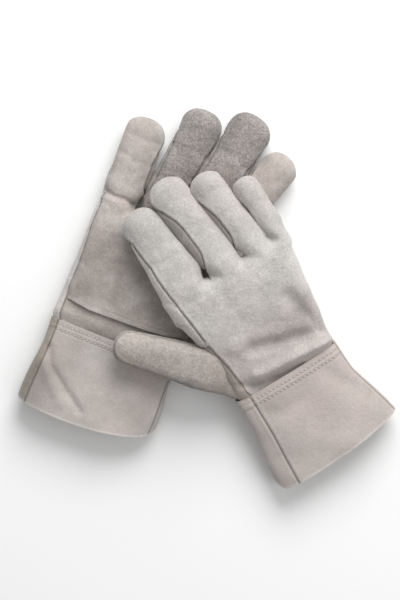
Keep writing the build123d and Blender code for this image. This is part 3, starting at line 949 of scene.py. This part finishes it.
def makeBag(glove):
    name = glove["name"]
    bpy.ops.mesh.primitive_cylinder_add(vertices=96, radius=1, depth=1, end_fill_type="NOTHING")
    bag = bpy.context.object
    levels = (0.4999, *np.linspace(-0.48, 0.49, 44))
    cuts = [{"plane_co": (0, 0, at), "plane_no": (0, 0, 1)} for at in levels]
    editAll(bag, *((bpy.ops.mesh.bisect, cut) for cut in cuts))
    unit = readPoints(bag)
    angle = np.arctan2(unit[:, 1], unit[:, 0])
    y = liningBag["start"] + (unit[:, 2] + 0.5) * (liningBag["end"] - liningBag["start"])
    outline = np.array(glove["handEdge"], float)
    leftLine = outline[outline[:, 0] < 0]
    rightLine = outline[outline[:, 0] > 0][::-1]
    left = np.interp(y, leftLine[:, 1], leftLine[:, 0]) + liningBag["inset"]
    right = np.interp(y, rightLine[:, 1], rightLine[:, 0]) - liningBag["inset"]
    closing = np.clip((y - (liningBag["end"] - liningBag["round"])) / liningBag["round"], 0, 1)
    shrink = np.sqrt(np.maximum(1 - closing ** 2, 0.0004))
    across, over = squareRound(angle, liningBag["power"])
    x = (left + right) / 2 + (right - left) / 2 * across * (0.35 + 0.65 * shrink)
    middle = (liningBag["low"] + liningBag["high"]) / 2
    half = (liningBag["high"] - liningBag["low"]) / 2
    z = middle + half * over * shrink
    co = np.stack([x, y, z], axis=1)
    co[:, 2] += 0.5 * lumps(co, 20, 15) * smoothStep(60, 75, y)
    writePoints(bag, place(glove, co))
    editAll(bag, (bpy.ops.mesh.normals_make_consistent, {"inside": False}))
    finish(bag, "cotton", liningBag["cloth"])
    attach(bag, f"{name}_hand_lining", f"{name}_glove")


# the cuffs' stitches, and the upper glove's bar tacks: x, y and slant of each
thread = {"length": 2.5, "pitch": 3.6, "radius": 0.62,
          "tackLength": 8.4, "tackRadius": 0.42, "tackPitch": 0.75,
          "tacks": [(-54.2, 151.5, -0.18), (-49.8, 130.5, -0.15), (-45.4, 68.6, 0.0)]}


def cuffSurface(glove, x, y):
    # points on the top of the cuff
    left, right = edgeAt(glove["cuffEdges"], y)
    across = (x - (left + right) / 2) / ((right - left) / 2)
    over = np.clip(1 - np.abs(across) ** cuff["power"], 0, 1) ** (1 / cuff["power"])
    return cuffRelief(glove, np.stack([x, y, cuff["base"] + cuffHeight(y) / 2 * (1 + over)], axis=1))


def makeStitches(glove):
    # one stitch is modelled, and every other is a copy of it
    name = glove["name"]
    bpy.ops.mesh.primitive_uv_sphere_add(segments=6, ring_count=5, radius=1)
    one = bpy.context.object
    onlyActive(one)
    bpy.ops.transform.resize(value=(thread["length"] / 2, thread["radius"], thread["radius"]))
    bpy.ops.object.transform_apply(scale=True)
    shape = readPoints(one)
    faces = [list(p.vertices) for p in one.data.polygons]
    bpy.data.objects.remove(one)
    spots = []
    for row in cuff["stitchRows"][name]:
        left = edgeAt(glove["cuffSeams"]["left"], row)[0] + 2.5
        right = edgeAt(glove["cuffSeams"]["right"], row)[0] - 3.0
        xs = np.arange(left, right, thread["pitch"])
        spots.append(cuffSurface(glove, xs, np.full(len(xs), row)))
    spots = np.concatenate(spots)
    co = (spots[:, None, :] + shape[None] + (0, 0, 0.25)).reshape(-1, 3)
    allFaces = [[v + len(shape) * i for v in f] for i in range(len(spots)) for f in faces]
    data = bpy.data.meshes.new(f"{name}Stitches")
    data.from_pydata(place(glove, co).tolist(), [], allFaces)
    piece = bpy.data.objects.new(f"{name}Stitches", data)
    bpy.context.collection.objects.link(piece)
    onlyActive(piece)
    bpy.ops.object.shade_smooth()
    piece.data.materials.append(materials["thread"])
    attach(piece, f"{name}_cuff_seam_stitches", f"{name}_glove")


def makeTacks(glove, surface):
    # short bars of thread that follow the leather across the side band
    top = surface[surface[:, 2] > 9]
    bars = []
    for x, y, slant in thread["tacks"]:
        for k in range(-2, 3):
            points = []
            for t in np.linspace(-0.5, 0.5, 9):
                atX = x + t * thread["tackLength"]
                atY = y + k * thread["tackPitch"] + t * thread["tackLength"] * slant
                if y < cuff["top"]["upper"]:
                    level = cuffSurface(glove, np.array([atX]), np.array([atY]))[0, 2]
                else:
                    level = top[np.argsort((top[:, 0] - atX) ** 2 + (top[:, 1] - atY) ** 2)[:6], 2].max()
                points.append((atX, atY, level + 0.15 - 0.5 * (abs(t) > 0.45)))
            bar = addCurve("bar", points)
            bar.data.bevel_depth = thread["tackRadius"] * mm
            bar.data.bevel_resolution = 1
            bar.data.use_fill_caps = True
            bars.append(toMesh(bar))
    piece = joinAll(bars)
    writePoints(piece, place(glove, readPoints(piece) / mm))
    bpy.ops.object.shade_smooth()
    piece.data.materials.append(materials["thread"])
    attach(piece, "upper_bar_tacks", "upper_glove")


# the leathers: two colours, how strong the nap is and how coarse
tones = {
    "back": {"light": (0.575, 0.555, 0.53), "dark": (0.46, 0.44, 0.42), "nap": 0.13, "coarse": 1.0},
    "palm": {"light": (0.47, 0.435, 0.41), "dark": (0.305, 0.275, 0.248), "nap": 0.13, "coarse": 0.8},
    "thumb": {"light": (0.43, 0.395, 0.365), "dark": (0.32, 0.29, 0.265), "nap": 0.17, "coarse": 1.1},
    "recess": {"light": (0.45, 0.41, 0.375), "dark": (0.35, 0.315, 0.285), "nap": 0.14, "coarse": 0.9},
    # painted shade: the wall leather darker, for the thumb-side band at the wrist
    "wristWall": {"light": (0.35, 0.32, 0.29), "dark": (0.27, 0.245, 0.22), "nap": 0.15, "coarse": 1.1},
    # painted shade: the cuff leather darker, for the lower cuff's side that turns from the light
    "cuffSide": {"light": (0.355, 0.33, 0.292), "dark": (0.28, 0.258, 0.228), "nap": 0.10, "coarse": 0.8},
    "rough": {"light": (0.32, 0.296, 0.28), "dark": (0.235, 0.215, 0.203), "nap": 0.27, "coarse": 1.2},
    "wall": {"light": (0.37, 0.35, 0.33), "dark": (0.28, 0.26, 0.245), "nap": 0.12, "coarse": 0.9},
    "cuff": {"light": (0.49, 0.455, 0.43), "dark": (0.38, 0.345, 0.32), "nap": 0.08, "coarse": 0.6},
}
paleLeather = (0.60, 0.565, 0.54)   # a side band's leather, lighter than the walls between the fingers
wristTone = (0.462, 0.422, 0.40)   # what the back of the hand shades into at the wrist
seamShade = (0.13, 0.105, 0.09)
rawShade = (0.62, 0.58, 0.54)


class Maker:
    # a material being made, with short ways to add its nodes
    def __init__(self, name, roughness, sheen):
        self.mat = bpy.data.materials.new(name)
        self.mat.use_nodes = True
        self.nodes, self.links = self.mat.node_tree.nodes, self.mat.node_tree.links
        self.shader = self.nodes["Principled BSDF"]
        self.shader.inputs["Roughness"].default_value = roughness
        self.shader.inputs["Specular IOR Level"].default_value = 0.18
        self.shader.inputs["Sheen Weight"].default_value = sheen
        self.shader.inputs["Sheen Roughness"].default_value = 0.45
        self.where = self.nodes.new("ShaderNodeTexCoord").outputs["Object"]

    def noise(self, scale, detail, rough):
        n = self.nodes.new("ShaderNodeTexNoise")
        n.inputs["Scale"].default_value = scale
        n.inputs["Detail"].default_value = detail
        n.inputs["Roughness"].default_value = rough
        self.links.new(self.where, n.inputs["Vector"])
        return n.outputs["Fac"]

    def ramp(self, value, low, high, a, b):
        r = self.nodes.new("ShaderNodeMapRange")
        for socket, v in (("From Min", low), ("From Max", high), ("To Min", a), ("To Max", b)):
            r.inputs[socket].default_value = v
        self.links.new(value, r.inputs["Value"])
        return r.outputs["Result"]

    def mix(self, factor, a, b, mode="MIX"):
        mx = self.nodes.new("ShaderNodeMix")
        mx.data_type = "RGBA"
        mx.blend_type = mode
        sockets = [s for s in mx.inputs if s.enabled]
        for socket, value in zip((sockets[0], sockets[1], sockets[2]), (factor, a, b)):
            if hasattr(value, "is_linked"):
                self.links.new(value, socket)
            else:
                socket.default_value = value
        return [s for s in mx.outputs if s.enabled][0]

    def attribute(self, name):
        a = self.nodes.new("ShaderNodeAttribute")
        a.attribute_name = name
        return a.outputs["Fac"]

    def multiply(self, colour, value):
        both = self.nodes.new("ShaderNodeCombineColor")
        for socket in ("Red", "Green", "Blue"):
            self.links.new(value, both.inputs[socket])
        return self.mix(1.0, colour, both.outputs["Color"], "MULTIPLY")

    def relief(self, heights, strength, distance):
        total = heights[0]
        for h in heights[1:]:
            add = self.nodes.new("ShaderNodeMath")
            add.operation = "ADD"
            self.links.new(total, add.inputs[0])
            self.links.new(h, add.inputs[1])
            total = add.outputs["Value"]
        bumpNode = self.nodes.new("ShaderNodeBump")
        bumpNode.inputs["Strength"].default_value = strength
        bumpNode.inputs["Distance"].default_value = distance
        self.links.new(total, bumpNode.inputs["Height"])
        self.links.new(bumpNode.outputs["Normal"], self.shader.inputs["Normal"])

    def colour(self, base):
        self.links.new(base, self.shader.inputs["Base Color"])
        return self.mat


def tinted(colour, shares):
    return (*(v * share for v, share in zip(colour, shares)), 1)


def suede(kind):
    # patches of tone first, then the nap at three sizes, then edges, stains with painted light and shade,
    # and seams
    tone = tones[kind]
    k = Maker(kind + "Suede", 0.92, 0.22)
    c = tone["coarse"]
    light, dark = (*tone["light"], 1), (*tone["dark"], 1)
    base = k.mix(k.ramp(k.noise(36, 4, 0.6), 0.34, 0.68, 0, 1), light, dark)
    rosy = tinted(tone["light"], (1.04, 0.965, 0.955))
    rosiness = 0.35 if kind == "back" else 0.8
    base = k.mix(k.ramp(k.noise(15, 3, 0.5), 0.42, 0.62, 0, rosiness), base, rosy)
    ashen = tinted(tone["light"], (0.80, 0.83, 0.83))
    base = k.mix(k.ramp(k.noise(70, 5, 0.65), 0.52, 0.72, 0, 0.4), base, ashen)
    if kind == "wall":
        base = k.mix(k.attribute("pale"), base, (*paleLeather, 1))
    if kind == "back":
        # towards the wrist the back is as warm and dull as the cuff
        base = k.mix(k.ramp(k.attribute("wristward"), 0, 0.8, 0, 1), base, (*wristTone, 1))
        base = k.multiply(base, k.ramp(k.attribute("fingerward"), 0, 1, 1.0, 0.84))
    for scale, share in ((1100, 1.2), (520, 0.8), (190, 0.4)):
        nap = tone["nap"] * share
        base = k.multiply(base, k.ramp(k.noise(scale / c, 3, 0.7), 0.32, 0.68, 1 - nap, 1 + nap))
    if kind in ("cuff", "cuffSide"):
        base = k.mix(k.ramp(k.attribute("rawEdge"), 0, 1, 0, 0.7), base, (*rawShade, 1))
    # stains, and painted shade and highlight, darken or pale the colour
    base = k.multiply(base, k.ramp(k.attribute("stainAndLight"), -1, 1, 1.34, 0.66))
    base = k.mix(k.ramp(k.attribute("seamDark"), 0, 1, 0, 0.75), base, (*seamShade, 1))
    fine = k.ramp(k.noise(560 / c, 4, 0.8), 0, 1, 0, 1.0)
    broad = k.ramp(k.noise(150 / c, 3, 0.6), 0, 1, 0, 1.6)
    k.relief([fine, broad], 0.65, 0.0008 * c)
    return k.colour(base)


def cloth(kind, light, dark, threads):
    # a plain weave: two sets of waves crossed
    k = Maker(kind + "Cloth", 0.95, 0.12)
    waves = []
    for axis in ("X", "Y"):
        w = k.nodes.new("ShaderNodeTexWave")
        w.bands_direction = axis
        w.inputs["Scale"].default_value = threads
        w.inputs["Distortion"].default_value = 1.5
        k.links.new(k.where, w.inputs["Vector"])
        waves.append(w.outputs["Fac"])
    base = k.mix(k.ramp(k.noise(60, 4, 0.6), 0.35, 0.65, 0, 1), (*light, 1), (*dark, 1))
    base = k.multiply(base, k.ramp(waves[0], 0, 1, 0.86, 1.06))
    base = k.multiply(base, k.ramp(waves[1], 0, 1, 0.88, 1.05))
    k.relief(waves, 0.5, 0.0003)
    return k.colour(base)


def threadFinish():
    k = Maker("sewingThread", 0.7, 0.25)
    base = k.mix(k.ramp(k.noise(420, 3, 0.7), 0.3, 0.7, 0, 1), (0.57, 0.53, 0.49, 1), (0.44, 0.40, 0.37, 1))
    k.relief([k.noise(2600, 2, 0.6)], 0.4, 0.0002)
    return k.colour(base)


for kind in tones:
    materials[kind] = suede(kind)
materials["cotton"] = cloth("cotton", (0.62, 0.58, 0.50), (0.52, 0.48, 0.41), 420)
materials["canvas"] = cloth("canvas", (0.60, 0.55, 0.46), (0.50, 0.45, 0.37), 300)
materials["thread"] = threadFinish()
print("materials ready")

for glove in (lowerGlove, upperGlove):
    body = handVolume(glove)
    centres, m = sculptHand(glove, body)
    surface = readPoints(body) / mm
    labels, chosen = handLabels(glove, m, centres)
    finishHand(glove, partPanels(body, labels, chosen), m)
    print(glove["name"], "hand done")
    makeThumb(glove)
    makeCuff(glove)
    makeBag(glove)
    makeStitches(glove)
    if glove["name"] == "upper":
        makeTacks(glove, surface)
    print(glove["name"], "cuff, thumb and sewing done")

# camera and light: across is the width seen at level, in metres
view = {"height": 2.0, "across": 0.480, "level": 0.035, "sensor": 36, "centre": (-8.16, 1.48)}
camData = bpy.data.cameras.new("camera")
camera = bpy.data.objects.new("camera", camData)
bpy.context.collection.objects.link(camera)
camera.location = (view["centre"][0] * mm, view["centre"][1] * mm, view["height"])
camData.sensor_width = view["sensor"]
camData.lens = view["sensor"] * (view["height"] - view["level"]) / view["across"]
bpy.context.scene.camera = camera

bpy.ops.mesh.primitive_plane_add(size=6, location=(0, 0, -0.0005))
floor = bpy.context.object
floor.name = "floor"
floorMat = bpy.data.materials.new("floor")
floorMat.use_nodes = True
floorMat.node_tree.nodes["Principled BSDF"].inputs["Base Color"].default_value = (0.9, 0.9, 0.9, 1)
floor.data.materials.append(floorMat)


def areaLight(name, spot, size, power):
    data = bpy.data.lights.new(name, "AREA")
    data.shape = "DISK"
    data.size = size
    data.energy = power
    lamp = bpy.data.objects.new(name, data)
    bpy.context.collection.objects.link(lamp)
    lamp.location = spot
    lamp.rotation_euler = (-Vector(spot)).to_track_quat("-Z", "Y").to_euler()


areaLight("key", (0.35, 1.2, 1.1), 1.3, 29)
areaLight("fill", (1.2, -0.4, 1.5), 1.4, 6)
world = bpy.data.worlds.new("studio")
bpy.context.scene.world = world
world.use_nodes = True
world.node_tree.nodes["Background"].inputs["Color"].default_value = (1, 1, 1, 1)
world.node_tree.nodes["Background"].inputs["Strength"].default_value = 0.45
bpy.context.scene.view_settings.view_transform = "Standard"
